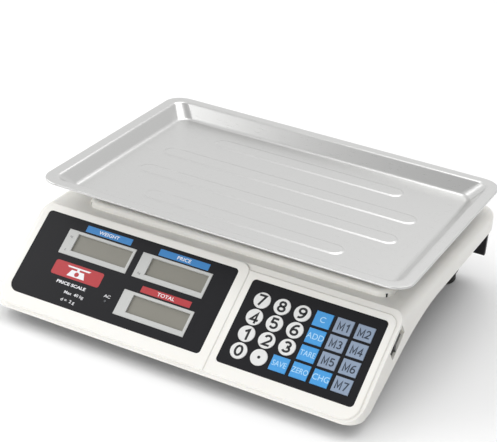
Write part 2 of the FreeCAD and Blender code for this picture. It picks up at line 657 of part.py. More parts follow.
# feet: clearance for the studs and pockets for their nuts
for x, y in FEET.values():
    rod(rear_cuts, "stud + 0.4", "stud_long + 2", [x, y, "pod_low - 1"])
    rod(rear_cuts, "6.7", "5.2", [x, y, "nut_low"])
# battery hatch: a rebate for the lid and the way through
box(rear_cuts, ["battery_side + 10", "battery_long + 12", "hatch + 0.1"],
    ["battery_x - 5", "battery_y - 6", "hatch_low - 0.1"])
box(rear_cuts, ["battery_side + 2", "battery_long + 2", "6"],
    ["battery_x - 1", "battery_y - 1", "hatch_low"])
for x, y in HATCH_SCREWS:
    rod(rear_cuts, "post_hole", "6", [x, y, "hatch_low"])
# mains inlet hole in the right wall
box(rear_cuts, ["8", "27.6", "19.6"], ["tub_half - 4", "inlet_y - 13.8", "inlet_z - 9.8"])
# holes for the screws that pull the base up to the housing
for x, y, screw_low, post_low, bite in SCREWS:
    rod(rear_cuts, "1.8", "8", [x, y, screw_low + " - 2"])
lower_voids = join("lower_voids", [base_voids, rear_cuts])
base_shape = cut_from("base_shape", base_block, lower_voids)
# hollow pillars for the four long screws, from the tub's floor up to the housing's posts
pillars = new_body("pillars")
for x, y in TUB_SCREWS:
    rod(pillars, "post", "sill + belly_up + 0.8 - tub_low - 1", [x, y, "tub_low + 1"])
for x, y in TUB_SCREWS:
    rod(pillars, "1.8", "80", [x, y, "0"], cut=True)
lower_base = keep(join("lower_base", [base_shape, pillars]))

# ---------------------------------------------------------------- feet and their nuts
nuts = keep(new_body("foot_nuts"))
for x, y in FEET.values():
    rod(nuts, "6.5", "5", [x, y, "nut_low + 0.1"])
for x, y in FEET.values():
    rod(nuts, "stud + 0.06", "20", [x, y, "nut_low - 5"], cut=True)
for name, (x, y) in FEET.items():
    foot = keep(new_body("foot_" + name))
    taper(foot, "foot_radius", "foot_radius - 1", "foot_pad", [x, y, "0"])
    round_edges(foot, "1.2", level_at(0.0))
    rod(foot, "9", "0.4", [x, y, "foot_pad"])
    rod(foot, "stud", "stud_long", [x, y, "foot_pad"])

# ---------------------------------------------------------------- weighing frame
chassis = keep(new_body("base_frame"))
box(chassis, ["68", "172", "plate"], ["-34", "-46", "plate_low"])
round_edges(chassis, "5", upright)
for side in ("-34", "34 - plate"):
    box(chassis, ["plate", "140", "6"], [side, "-30", "plate_low - 6"])
for x, y in FRAME_SCREWS:
    rod(chassis, "frame_screw + 0.35", "9", [x, y, "plate_low - 3"], cut=True)
cell_front = "(platter_y - cell_length / 2)"
cell_rear = "(platter_y + cell_length / 2)"
LOW_BOLTS = [cell_front + " + bolt_first", cell_front + " + bolt_first + bolt_pitch"]
TOP_BOLTS = [cell_rear + " - bolt_first", cell_rear + " - bolt_first - bolt_pitch"]
for y in LOW_BOLTS:
    rod(chassis, "bolt + 0.2", "9", ["0", y, "plate_low - 3"], cut=True)
STOPS = ["-9", "9"]
for x in STOPS:
    rod(chassis, "stop + 0.06", "9", [x, cell_rear + " - 10", "plate_low - 3"], cut=True)

frame_screws = keep(new_body("frame_screws"))
recess_low = "plate_low + plate + 1.5"
for x, y in FRAME_SCREWS:
    rod(frame_screws, "frame_screw", "10", [x, y, "plate_low + plate - 10"])
    rod(frame_screws, "frame_head", "2.4", [x, y, "plate_low + plate"])
    box(frame_screws, ["recess_long", "recess_wide", "1"],
        [x + " - recess_long / 2", y + " - recess_wide / 2", recess_low], cut=True)
    box(frame_screws, ["recess_wide", "recess_long", "1"],
        [x + " - recess_wide / 2", y + " - recess_long / 2", recess_low], cut=True)

cell = keep(new_body("load_cell"))
box(cell, ["cell_width", "cell_length", "cell_height"], ["-cell_width / 2", cell_front, "cell_low"])
for offset in ("-11", "11"):
    rod(cell, "8", "cell_width + 2", ["-cell_width / 2 - 1", "platter_y + " + offset,
                                      "cell_low + cell_height / 2"], cut=True, across=True)
box(cell, ["cell_width + 2", "22", "5"], ["-cell_width / 2 - 1", "platter_y - 11",
                                          "cell_low + cell_height / 2 - 2.5"], cut=True)
for y in LOW_BOLTS + TOP_BOLTS:
    rod(cell, "bolt + 0.06", "cell_height + 2", ["0", y, "cell_low - 1"], cut=True)

spacers = keep(new_body("load_cell_spacers"))
low_spacer = "(cell_low - plate_low - plate)"
boss_low = "(cell_low + cell_height + boss_up)"
box(spacers, ["cell_width", "spacer_long", low_spacer],
    ["-cell_width / 2", cell_front, "plate_low + plate"])
box(spacers, ["cell_width", "spacer_long", "boss_up"],
    ["-cell_width / 2", cell_rear + " - spacer_long", "cell_low + cell_height"])
for y in LOW_BOLTS + TOP_BOLTS:
    rod(spacers, "bolt + 0.2", "60", ["0", y, "plate_low"], cut=True)

support = keep(new_body("pan_support"))
arm_low = "(arm_top - arm_thick)"
for y in ("-arm_reach", "arm_reach"):
    box(support, ["2 * arm_half", "20", "arm_thick"], ["-arm_half", "platter_y + %s - 10" % y, arm_low])
box(support, ["38", "2 * arm_reach", "arm_thick"], ["-19", "platter_y - arm_reach", arm_low])
round_edges(support, "6", lambda edge: upright(edge) and abs(edge.CenterOfMass.x) > 100)
box(support, ["34", "34", "%s - %s" % (arm_low, boss_low)],
    ["-17", cell_rear + " - 32", boss_low])
for y in TOP_BOLTS:
    rod(support, "bolt + 0.2", "60", ["0", y, boss_low + " - 1"], cut=True)
    rod(support, "5.6", "3.2", ["0", y, "arm_top - 3.1"], cut=True)
PAD_SPOTS = [(x, y) for x in ("-112", "112") for y in ("-arm_reach", "arm_reach")]
for x, y in PAD_SPOTS:
    rod(support, "4", "10", [x, "platter_y + " + y, arm_low + " - 2"], cut=True)

pads = keep(new_body("pan_pads"))
pad_top = "(rim_top - pan_drop - gauge)"
for x, y in PAD_SPOTS:
    rod(pads, "8", pad_top + " - arm_top", [x, "platter_y + " + y, "arm_top"])
    rod(pads, "3.9", "arm_thick - 0.4", [x, "platter_y + " + y, "arm_top - arm_thick + 0.4"])

cell_bolts = keep(new_body("load_cell_bolts"))
for y in LOW_BOLTS:
    rod(cell_bolts, "bolt", "24", ["0", y, "plate_low"])
    rod(cell_bolts, "5", "4", ["0", y, "plate_low - 4"])
    rod(cell_bolts, "2.2", "2", ["0", y, "plate_low - 4"], cut=True)
for y in TOP_BOLTS:
    rod(cell_bolts, "bolt", "arm_top - 3 - cell_low - 6", ["0", y, "cell_low + 6"])
    rod(cell_bolts, "5.2", "2.9", ["0", y, "arm_top - 3"])
    rod(cell_bolts, "2.2", "2", ["0", y, "arm_top - 2"], cut=True)

stops = keep(new_body("overload_stops"))
for x in STOPS:
    rod(stops, "stop", "cell_low - 0.5 - plate_low + 4", [x, cell_rear + " - 10", "plate_low - 4"])
    rod(stops, "4.2", "3.2", [x, cell_rear + " - 10", "plate_low + plate"])

level = keep(new_body("spirit_level"))
rod(level, "9", "4", ["70", "-8", "platform_top - 4"])
rod(level, "11", "1.5", ["70", "-8", "platform_top"])
rod(level, "6.5", "3", ["70", "-8", "platform_top + 0.7"], cut=True)

# ---------------------------------------------------------------- electrics
main_board = keep(new_body("main_board"))
board_face = "tub_low + main_board_up + board"
box(main_board, ["148", "42", "board"], ["-74", "-92", "tub_low + main_board_up"])
# chips and connectors as (x, y, width, depth, height), capacitors as (x, y, radius, height)
CHIPS = [("-40", "-84", "16", "16", "2.5"), ("-12", "-82", "12", "12", "2"), ("20", "-86", "18", "10", "9"),
         ("44", "-84", "14", "9", "9"), ("-66", "-84", "12", "8", "8")]
CAPACITORS = [("12", "-60", "4", "12"), ("26", "-60", "5", "14"), ("-30", "-58", "3.2", "9")]
for x, y, wide, deep, tall in CHIPS:
    box(main_board, [wide, deep, tall], [x, y, board_face])
for x, y, radius, tall in CAPACITORS:
    rod(main_board, radius, tall, [x, y, board_face])

battery = keep(new_body("battery"))
box(battery, ["battery_side", "battery_long", "battery_side"], ["battery_x", "battery_y", "tub_low + 3.2"])
round_edges(battery, "2", lambda edge: True)
for z in ("tub_low + 12", "tub_low + 34"):
    box(battery, ["6.4", "7", "0.8"], ["battery_x + 20", "battery_y - 6.5", z])

hatch = keep(new_body("battery_door"))
box(hatch, ["battery_side + 9.4", "battery_long + 11.4", "hatch"],
    ["battery_x - 4.7", "battery_y - 5.7", "hatch_low"])
round_edges(hatch, "1.5", upright)
for x, y in HATCH_SCREWS:
    rod(hatch, "1.7", "6", [x, y, "hatch_low - 1"], cut=True)

screws = keep(new_body("base_screws"))
for x, y, screw_low, post_low, bite in SCREWS:
    rod(screws, "screw", "%s + %s - (%s)" % (post_low, bite, screw_low), [x, y, screw_low])
    rod(screws, "screw_head", "head_deep", [x, y, screw_low + " - head_deep"])
for x, y in HATCH_SCREWS:
    rod(screws, "screw", "5", [x, y, "hatch_low"])
    rod(screws, "screw_head", "head_deep", [x, y, "hatch_low - head_deep"])
head_places = [(x, y, screw_low) for x, y, screw_low, post_low, bite in SCREWS]
head_places += [(x, y, "hatch_low") for x, y in HATCH_SCREWS]
for x, y, seat in head_places:
    box(screws, ["cross_long", "cross_wide", "head_deep / 2"],
        [x + " - cross_long / 2", y + " - cross_wide / 2", seat + " - head_deep"], cut=True)
    box(screws, ["cross_wide", "cross_long", "head_deep / 2"],
        [x + " - cross_wide / 2", y + " - cross_long / 2", seat + " - head_deep"], cut=True)

transformer = keep(new_body("transformer"))
box(transformer, ["38", "46", "26"], ["core_x", "core_y", "tub_low + 9"])
box(transformer, ["24", "58", "18"], ["core_x + 7", "core_y - 6", "tub_low + 13"])
box(transformer, ["38", "64", "1.2"], ["core_x", "core_y - 9", "tub_low + 3.2"])
for y in ("core_y", "core_y + 44.8"):
    box(transformer, ["38", "1.2", "8"], ["core_x", y, "tub_low + 3.2"])

inlet = keep(new_body("power_inlet"))
box(inlet, ["2", "32", "24"], ["tub_half", "inlet_y - 16", "inlet_z - 12"])
round_edges(inlet, "3", lambda edge: edge.BoundBox.YLength < 1e-3 and edge.BoundBox.ZLength < 1e-3)
box(inlet, ["18", "27", "19"], ["tub_half - 18", "inlet_y - 13.5", "inlet_z - 9.5"])
box(inlet, ["16.5", "22.5", "14.5"], ["tub_half - 14.2", "inlet_y - 11.25", "inlet_z - 7.25"], cut=True)
for y, z in [("-7", "-1.5"), ("7", "-1.5"), ("0", "2.5")]:
    box(inlet, ["12", "1.5", "3.6"], ["tub_half - 14.6", "inlet_y + (%s) - 0.75" % y,
                                      "inlet_z + (%s) - 1.8" % z])

switch = keep(new_body("switch_body"))
tilt(switch)
box(switch, ["1.6", "19", "11"], ["switch_face", "switch_v - 9.5", "switch_w - 5.5"])
box(switch, ["13", "16.8", "8.8"], ["switch_face - 13", "switch_v - 8.4", "switch_w - 4.4"])
box(switch, ["9", "15.6", "7.6"], ["switch_face - 4.6", "switch_v - 7.8", "switch_w - 3.8"], cut=True)

rocker = keep(new_body("power_rocker"))
tilt(rocker, "switch_w - 3.6")
pivot_u = "(switch_face - 0.6)"


def rocker_corner(along, out):
    """A rocker outline point, turned by the rest tilt about its pivot."""
    return ("%s + (%s) * cos(rocker_tilt) - (%s) * sin(rocker_tilt)" % (pivot_u, out, along),
            "switch_v + (%s) * sin(rocker_tilt) + (%s) * cos(rocker_tilt)" % (out, along))


rocker_view = [rocker_corner("-rocker_half + 0.6", "-1.6"), rocker_corner("-rocker_half + 0.2", "3.6"),
               rocker_corner("0", "2.4"), rocker_corner("rocker_half - 0.2", "3.6"),
               rocker_corner("rocker_half - 0.6", "-1.6"), rocker_corner("0", "-2.6")]
pad(rocker, polygon(rocker, "XY_Plane", rocker_view), "7.2")

# ---------------------------------------------------------------- rear display for the customer
rear_film = keep(new_body("rear_panel"))
box(rear_film, ["2 * tail_half - 10", "0.6", "sill - tail_low - 2"],
    ["-tail_half + 5", "tail_rear", "tail_low + 1"])
round_edges(rear_film, "3", lambda edge: edge.BoundBox.XLength < 1e-3 and edge.BoundBox.ZLength < 1e-3)
rear_lcds = keep(new_body("rear_lcds"))
for x in REAR_LCDS:
    box(rear_film, ["54", "3", "16"], [x + " - 27", "tail_rear - 1", "tail_low + 6"], cut=True)
    box(rear_lcds, ["60", "3.8", "21"], [x + " - 30", "tail_rear - 3.9", "tail_low + 3.5"])

# ---------------------------------------------------------------- check and write
doc.recompute()
for item in doc.Objects:
    if {"Invalid", "Error"} & set(item.State):
        raise RuntimeError("%s failed: %s" % (item.Label, item.State))
labels = [part.Label for part in nodes]
if len(set(labels)) != len(labels):
    raise RuntimeError("two sub-parts share a label")
for part in nodes:
    if part.Shape.isNull() or not part.Shape.isValid():
        raise RuntimeError("bad shape: " + part.Label)
os.makedirs("parts", exist_ok=True)
for part in nodes:
    part.Shape.exportStep("parts/%s.step" % part.Label)
    print("%-20s %2d solids %9.1f mm3" % (part.Label, len(part.Shape.Solids), part.Shape.Volume))
print(len(nodes), "sub-parts")
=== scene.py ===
import json
import math

import bmesh
import bpy
from mathutils import Matrix, Vector


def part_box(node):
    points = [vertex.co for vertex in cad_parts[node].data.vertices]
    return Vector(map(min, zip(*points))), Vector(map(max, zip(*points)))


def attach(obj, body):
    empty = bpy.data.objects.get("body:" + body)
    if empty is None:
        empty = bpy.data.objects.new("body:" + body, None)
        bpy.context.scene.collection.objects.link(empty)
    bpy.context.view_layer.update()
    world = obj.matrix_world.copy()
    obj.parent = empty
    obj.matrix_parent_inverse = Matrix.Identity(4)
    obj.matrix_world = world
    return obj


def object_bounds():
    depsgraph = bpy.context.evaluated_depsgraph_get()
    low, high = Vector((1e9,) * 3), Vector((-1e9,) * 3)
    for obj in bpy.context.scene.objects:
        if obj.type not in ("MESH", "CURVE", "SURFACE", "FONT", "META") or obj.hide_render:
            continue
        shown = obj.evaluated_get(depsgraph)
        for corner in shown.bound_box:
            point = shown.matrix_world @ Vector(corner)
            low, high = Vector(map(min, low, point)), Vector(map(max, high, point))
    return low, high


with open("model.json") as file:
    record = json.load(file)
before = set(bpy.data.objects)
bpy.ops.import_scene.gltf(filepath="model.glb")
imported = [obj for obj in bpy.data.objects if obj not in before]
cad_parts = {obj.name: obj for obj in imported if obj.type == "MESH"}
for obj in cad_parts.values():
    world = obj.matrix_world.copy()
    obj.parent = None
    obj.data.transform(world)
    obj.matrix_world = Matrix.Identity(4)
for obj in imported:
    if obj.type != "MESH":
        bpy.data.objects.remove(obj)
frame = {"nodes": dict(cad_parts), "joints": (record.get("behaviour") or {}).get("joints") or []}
cad_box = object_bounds()

# ------------------------------------------------------------------ black base
# The lower tub, its belly and the four leg pods are one moulding of black ABS, spark-eroded matt so that
# finger marks do not show. The battery door is the same plastic, screwed into a rebate under the left side.


def linear(hex_colour):
    """An sRGB hex value as the linear colour that a shader socket takes."""
    channels = [int(hex_colour[i:i + 2], 16) / 255 for i in (1, 3, 5)]
    curved = [c / 12.92 if c <= 0.04045 else ((c + 0.055) / 1.055) ** 2.4 for c in channels]
    return (*curved, 1.0)


def new_finish(name, colour, roughness, metallic=0.0, ior=1.5):
    """An empty finish: its material, its node tree and its shader, set to plain values."""
    material = bpy.data.materials.new(name)
    material.use_nodes = True
    tree = material.node_tree
    shader = tree.nodes["Principled BSDF"]
    shader.inputs["Base Color"].default_value = linear(colour)
    shader.inputs["Roughness"].default_value = roughness
    shader.inputs["Metallic"].default_value = metallic
    shader.inputs["IOR"].default_value = ior
    return material, tree, shader


def add(tree, kind, inputs=None, **settings):
    """One node with its settings; each input is a value or another node's output socket."""
    node = tree.nodes.new(kind)
    for name, value in settings.items():
        setattr(node, name, value)
    for name, value in (inputs or {}).items():
        if isinstance(value, bpy.types.NodeSocket):
            tree.links.new(value, node.inputs[name])
        else:
            node.inputs[name].default_value = value
    return node


def per_metre(millimetres):
    """Texture scale that gives a pattern of this size in object space."""
    return 1000.0 / millimetres


def moulded(name, colour, worn, roughness, grain_mm, depth_mm):
    """Injection-moulded plastic: eroded grain as bump, and slow drifts of tone and gloss."""
    material, tree, shader = new_finish(name, colour, roughness)
    place = add(tree, "ShaderNodeTexCoord").outputs["Object"]
    grain = add(tree, "ShaderNodeTexNoise", {"Vector": place, "Scale": per_metre(grain_mm), "Detail": 3.0})
    drift = add(tree, "ShaderNodeTexNoise", {"Vector": place, "Scale": per_metre(70), "Detail": 2.0})
    tone = add(tree, "ShaderNodeMix", {"Factor": drift.outputs["Fac"], "A": linear(colour),
                                       "B": linear(worn)}, data_type="RGBA")
    gloss = add(tree, "ShaderNodeMapRange", {"Value": drift.outputs["Fac"], "To Min": roughness - 0.06,
                                             "To Max": roughness + 0.06})
    bump = add(tree, "ShaderNodeBump", {"Height": grain.outputs["Fac"], "Distance": depth_mm / 1000,
                                        "Strength": 0.6})
    tree.links.new(tone.outputs["Result"], shader.inputs["Base Color"])
    tree.links.new(gloss.outputs["Result"], shader.inputs["Roughness"])
    tree.links.new(bump.outputs["Normal"], shader.inputs["Normal"])
    return material


def wear(finish, *names):
    """Give CAD nodes a finish in place of their plain one."""
    for name in names:
        slots = frame["nodes"][name].material_slots
        for slot in slots:
            slot.material = finish


# Black ABS, matt: deep grey-black that lifts a little where light grazes it; grain 0.9 mm drawn coarse.
black_abs = moulded("black_abs_matt", "#1b1b1d", "#242426", 0.5, 0.9, 0.05)
wear(black_abs, "lower_base", "battery_door")

# ------------------------------------------------------------------ feet, nuts and screws
# Each foot is a pad of black rubber moulded on an M8 stud that turns in a nut held in the leg pod.
# The screws and nuts are bright zinc-plated steel.
FEET = ("front_left", "front_right", "rear_left", "rear_right")

# Natural rubber, moulded: dull and dark, with a fine cloudy bloom that greys it.
rubber, tree, shader = new_finish("moulded_rubber", "#202020", 0.75, ior=1.52)
place = add(tree, "ShaderNodeTexCoord").outputs["Object"]
bloom = add(tree, "ShaderNodeTexNoise", {"Vector": place, "Scale": per_metre(6), "Detail": 6.0})
tone = add(tree, "ShaderNodeMix", {"Factor": bloom.outputs["Fac"], "A": linear("#191919"),
                                   "B": linear("#2e2d2b")}, data_type="RGBA")
tree.links.new(tone.outputs["Result"], shader.inputs["Base Color"])
pits = add(tree, "ShaderNodeTexNoise", {"Vector": place, "Scale": per_metre(1.2), "Detail": 2.0})
bump = add(tree, "ShaderNodeBump", {"Height": pits.outputs["Fac"], "Distance": 0.0001, "Strength": 0.5})
tree.links.new(bump.outputs["Normal"], shader.inputs["Normal"])
wear(rubber, *["foot_" + corner for corner in FEET], "pan_pads")


def rolled_metal(name, colour, roughness, grain_mm, spread, stretch=(1, 1, 1)):
    """Bare metal: roughness and bump vary along a grain that `stretch` draws out."""
    material, tree, shader = new_finish(name, colour, roughness, metallic=1.0)
    place = add(tree, "ShaderNodeTexCoord").outputs["Object"]
    drawn = add(tree, "ShaderNodeMapping", {"Vector": place, "Scale": stretch})
    grain = add(tree, "ShaderNodeTexNoise", {"Vector": drawn.outputs["Vector"],
                                             "Scale": per_metre(grain_mm), "Detail": 4.0})
    gloss = add(tree, "ShaderNodeMapRange", {"Value": grain.outputs["Fac"], "To Min": roughness - spread,
                                             "To Max": roughness + spread})
    bump = add(tree, "ShaderNodeBump", {"Height": grain.outputs["Fac"], "Distance": 0.00003,
                                        "Strength": 0.35})
    tree.links.new(gloss.outputs["Result"], shader.inputs["Roughness"])
    tree.links.new(bump.outputs["Normal"], shader.inputs["Normal"])
    return material


# Zinc plate, bright-dipped: cool silver with soft patches of gloss about 2 mm across.
zinc = rolled_metal("zinc_plated_steel", "#c9ccd0", 0.32, 2.0, 0.1)
wear(zinc, "foot_nuts", "base_screws", "frame_screws", "base_frame", "load_cell_spacers",
     "load_cell_bolts", "overload_stops")

# ------------------------------------------------------------------ weighing frame
# A milled aluminium load cell carries a cast aluminium spider with four rubber pads for the tray.
# Both hang from the steel base frame and are seen only with the tray off.

# Milled aluminium: pale, with cutter marks running along the cell.
milled_aluminium = rolled_metal("milled_aluminium", "#d3d5d8", 0.3, 1.2, 0.08, stretch=(12, 1, 12))
wear(milled_aluminium, "load_cell")
# Sand-cast aluminium: greyer and rougher, grain about 0.8 mm.
cast_aluminium = rolled_metal("sand_cast_aluminium", "#a9abad", 0.55, 0.8, 0.12)
wear(cast_aluminium, "pan_support")

# ------------------------------------------------------------------ boards, battery and mains parts
# Inside the housing: three circuit boards in green solder mask, a sealed lead battery in a dark case,
# a varnished transformer, and the inlet and switch, both in black nylon.


def glossy(name, colour, mottle, roughness, cell_mm):
    """A smooth coated surface whose tone wanders slightly over cells of the given size."""
    material, tree, shader = new_finish(name, colour, roughness)
    place = add(tree, "ShaderNodeTexCoord").outputs["Object"]
    cloud = add(tree, "ShaderNodeTexNoise", {"Vector": place, "Scale": per_metre(cell_mm), "Detail": 3.0})
    tone = add(tree, "ShaderNodeMix", {"Factor": cloud.outputs["Fac"], "A": linear(colour),
                                       "B": linear(mottle)}, data_type="RGBA")
    tree.links.new(tone.outputs["Result"], shader.inputs["Base Color"])
    return material


# Solder mask over copper: wet-looking green, darker between the tracks.
solder_mask = glossy("solder_mask", "#1d6b3a", "#154f2c", 0.25, 2.5)
wear(solder_mask, "keypad_board", "display_board", "main_board")
# Battery case, dark injection-moulded ABS with a soft gloss: reads as a plain dark block.
battery_case = glossy("battery_case", "#2a2c30", "#33353a", 0.4, 30)
wear(battery_case, "battery")
# Shellac varnish over laminated steel: brown, half glossy, uneven where it ran.
core_varnish = glossy("core_varnish", "#5b4a3c", "#3b3029", 0.35, 3)
wear(core_varnish, "transformer")
# Spring steel, stamped and polished: bright small caps.
dome_steel = rolled_metal("dome_spring_steel", "#d9dadb", 0.2, 1.0, 0.05)
wear(dome_steel, "key_domes")
# Black nylon, moulded: a little shinier than the base, with the same small grain.
black_nylon = moulded("black_nylon", "#161617", "#1d1d1f", 0.38, 0.6, 0.03)
wear(black_nylon, "power_inlet", "switch_body", "power_rocker")
# Tinted acrylic round the level's bubble: clear yellow-green, very smooth.
level_acrylic = glossy("level_acrylic", "#cfe07a", "#bcd263", 0.1, 8)
wear(level_acrylic, "spirit_level")

# ------------------------------------------------------------------ white housing
# The upper housing is one large moulding of white ABS, polished only lightly, so it has a soft sheen.
# It sits over the black base and six screws from below hold it.

# White ABS: milk white, faintly ivory in shade; fine 1.1 mm orange-peel texture, slight yellowing drift.
white_abs = moulded("white_abs", "#f1f0ec", "#eeece6", 0.36, 1.1, 0.02)
housing_shader = white_abs.node_tree.nodes["Principled BSDF"]
housing_shader.inputs["Subsurface Weight"].default_value = 0.06
housing_shader.inputs["Subsurface Radius"].default_value = (0.004, 0.003, 0.002)
wear(white_abs, "upper_shell")

# ------------------------------------------------------------------ printed films on the slope
# Two polyester films, printed black from behind and stuck in shallow recesses of the slope: one over
# the displays with coloured title bars, one around the keys.

# Reverse-printed polyester: near black under a clear satin skin that picks up soft highlights.
film = moulded("printed_polyester", "#0f0f13", "#121217", 0.42, 2.0, 0.004)
film.node_tree.nodes["Principled BSDF"].inputs["Specular IOR Level"].default_value = 0.25
wear(film, "display_overlay", "keypad_overlay", "rear_panel")

# The panel's own axes: u across, v up the slope, w out of it, from the keys' direction of travel.
press = Vector(next(j["axis"] for j in frame["joints"] if j["name"] == "key_5_press"))
panel_tilt = math.atan2(press.y, -press.z)
film_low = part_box("display_overlay")[0]
film_thick = 0.0005
panel_origin = Vector((0, film_low.y, film_low.z + film_thick * math.cos(panel_tilt)))
panel = Matrix.Translation(panel_origin) @ Matrix.Rotation(panel_tilt, 4, "X")


def panel_box(node):
    """Lowest and highest corner of a CAD node in the panel's axes, in metres."""
    spots = [panel.inverted() @ vertex.co for vertex in frame["nodes"][node].data.vertices]
    low = Vector([min(s[i] for s in spots) for i in range(3)])
    high = Vector([max(s[i] for s in spots) for i in range(3)])
    return low, high


def printed(name, outline_mesh, spot, body, finish):
    """Lay a thin printed mesh on the panel at `spot`, in the panel's axes, riding on a body."""
    piece = bpy.data.objects.new(name, outline_mesh)
    bpy.context.scene.collection.objects.link(piece)
    outline_mesh.transform(panel @ Matrix.Translation(spot))
    outline_mesh.materials.clear()
    outline_mesh.materials.append(finish)
    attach(piece, body)


INK = 0.00004  # how far a layer of ink stands off what it is printed on


def thicken(plate, thick):
    """Give the flat faces of a bmesh a thickness, upward."""
    raised = bmesh.ops.extrude_face_region(plate, geom=plate.faces[:])["geom"]
    lifted = [part for part in raised if isinstance(part, bmesh.types.BMVert)]
    bmesh.ops.translate(plate, vec=(0, 0, thick), verts=lifted)


def ink_outline(points, thick=INK):
    """A thin plate over a closed outline of (x, y) points."""
    mesh = bpy.data.meshes.new("ink")
    plate = bmesh.new()
    rim = [plate.verts.new((x, y, 0)) for x, y in points]
    plate.faces.new(rim)
    thicken(plate, thick)
    bmesh.ops.recalc_face_normals(plate, faces=plate.faces)
    plate.to_mesh(mesh)
    plate.free()
    return mesh


def disc(radius, steps, up=0.0):
    """Outline of a round spot whose centre is `up` above the origin."""
    angles = [math.tau * i / steps for i in range(steps)]
    return [(radius * math.cos(angle), up + radius * math.sin(angle)) for angle in angles]


def rounded(width, height, radius, steps=6):
    """Outline of a rectangle with round corners, its lowest corner at the origin."""
    points = []
    for corner, (cx, cy) in enumerate([(width - radius, radius), (width - radius, height - radius),
                                       (radius, height - radius), (radius, radius)]):
        for step in range(steps + 1):
            angle = math.pi / 2 * (corner - 1 + step / steps)
            points.append((cx + radius * math.cos(angle), cy + radius * math.sin(angle)))
    return points


CAP_OF_SIZE = 0.7  # a capital's height as a share of the letter size


def lettering(words, cap_height, wide=1.0, weight=0.0):
    """Plain sans capitals as a thin raised mesh, centred on the origin; weight thickens the strokes."""
    curve = bpy.data.curves.new("lettering", "FONT")
    curve.body = words
    curve.size = cap_height / CAP_OF_SIZE
    curve.offset = weight
    curve.align_x = "CENTER"
    curve.extrude = INK / 2
    curve.resolution_u = 6
    carrier = bpy.data.objects.new("lettering", curve)
    bpy.context.scene.collection.objects.link(carrier)
    depsgraph = bpy.context.evaluated_depsgraph_get()
    mesh = bpy.data.meshes.new_from_object(carrier.evaluated_get(depsgraph))
    bpy.data.objects.remove(carrier)
    xs = [v.co.x for v in mesh.vertices]
    ys = [v.co.y for v in mesh.vertices]
    centre = Vector(((min(xs) + max(xs)) / 2, (min(ys) + max(ys)) / 2, -INK / 2))
    mesh.transform(Matrix.Diagonal((wide, 1, 1, 1)) @ Matrix.Translation(-centre))
    return mesh


def ink(name, colour):
    """Screen-printing ink: one even tone, slightly satin."""
    return glossy(name, colour, colour, 0.4, 5)


# Bars in flat blue and red; small print in white; the lamp that is off in dark grey.
blue_ink = ink("ink_blue", "#2f7fc0")
red_ink = ink("ink_red", "#b02f35")
white_ink = ink("ink_white", "#e9e9ec")
grey_ink = ink("ink_grey", "#55585c")

# Title bars: lowest corner from the film's left side and the panel's foot, size, words and tint, in mm.
film_corner = panel_box("display_overlay")[0]
BAR_ROUND = 0.0004
BARS = {"weight": (40.5, 70.0, 44.5, 6.1, "WEIGHT", "blue"), "price": (112, 69.7, 47, 6.1, "PRICE", "blue"),
        "total": (112.4, 34.0, 46.5, 5.8, "TOTAL", "red")}
for name, (left, low, wide, tall, words, tint) in BARS.items():
    spot = Vector((film_corner.x + left / 1000, low / 1000, 0))
    plate = ink_outline(rounded(wide / 1000, tall / 1000, BAR_ROUND))
    printed("bar_" + name, plate, spot, "housing", blue_ink if tint == "blue" else red_ink)
    middle = spot + Vector((wide / 2000, tall / 2000, INK))
    title = lettering(words, 0.0031, 1.15, 0.00005)
    printed("title_" + name, title, middle, "housing", white_ink)

# Small print under the left display: a plain red plate with a balance drawn on it, and plain words.
badge_spot = Vector((film_corner.x + 0.0290, 0.0255, 0))
badge_wide = 0.047
badge_tall = 0.0135
badge_round = 0.002
badge_plate = ink_outline(rounded(badge_wide, badge_tall, badge_round))
printed("badge_plate", badge_plate, badge_spot, "housing", red_ink)
balance_foot = badge_spot + Vector((badge_wide / 2, 0, INK))
balance_parts = {
    "pan": [(-0.010, 0.0098), (0.010, 0.0098), (0.0115, 0.0112), (-0.0115, 0.0112)],
    "post": [(-0.0012, 0.0080), (0.0012, 0.0080), (0.0012, 0.0099), (-0.0012, 0.0099)],
    "case": [(-0.0085, 0.0022), (0.0085, 0.0022), (0.0060, 0.0081), (-0.0060, 0.0081)],
}
for name, corners in balance_parts.items():
    printed("balance_" + name, ink_outline(corners), balance_foot, "housing", white_ink)
dial = ink_outline(disc(0.0021, 24, up=0.0051))
printed("balance_dial", dial, balance_foot + Vector((0, 0, INK)), "housing", red_ink)
# Small print: name, words, place in mm as for the bars, then height, width and weight of the letters.
SMALL_PRINT = [("kind", "PRICE SCALE", 52.5, 20.6, 0.0026, 1.35, 0.00010),
               ("capacity", "Max  40 kg", 59.0, 12.9, 0.0026, 1.15, 0.00004),
               ("division", "d =  2 g", 56.5, 6.2, 0.0026, 1.15, 0.00004),
               ("mains", "AC", 87.5, 21.3, 0.0026, 1.2, 0.00003)]
for name, words, across, up, tall, wide, weight in SMALL_PRINT:
    spot = Vector((film_corner.x + across / 1000, up / 1000, 0))
    printed("print_" + name, lettering(words, tall, wide, weight), spot, "housing", white_ink)
lamp_spot = Vector((film_corner.x + 0.0875, 0.0168, 0))
lamp_proud = 0.0002
printed("mains_lamp", ink_outline(disc(0.0009, 20), lamp_proud), lamp_spot, "housing",
        grey_ink)

# ------------------------------------------------------------------ front displays
# Three reflective liquid crystal displays stand behind light grey moulded frames. They are switched
# off: the glass is a flat greenish grey.

# Light grey ABS of the frames, moulded satin.
frame_grey = moulded("frame_grey_abs", "#c3c4c2", "#bcbdbb", 0.35, 0.8, 0.01)
wear(frame_grey, "lcd_bezels")
# Polarised glass over a reflector: greenish grey, smooth, with soft even reflections.
lcd_glass = glossy("lcd_glass_off", "#86847b", "#807e75", 0.3, 25)
wear(lcd_glass, "weight_lcd", "price_lcd", "total_lcd", "rear_lcds")
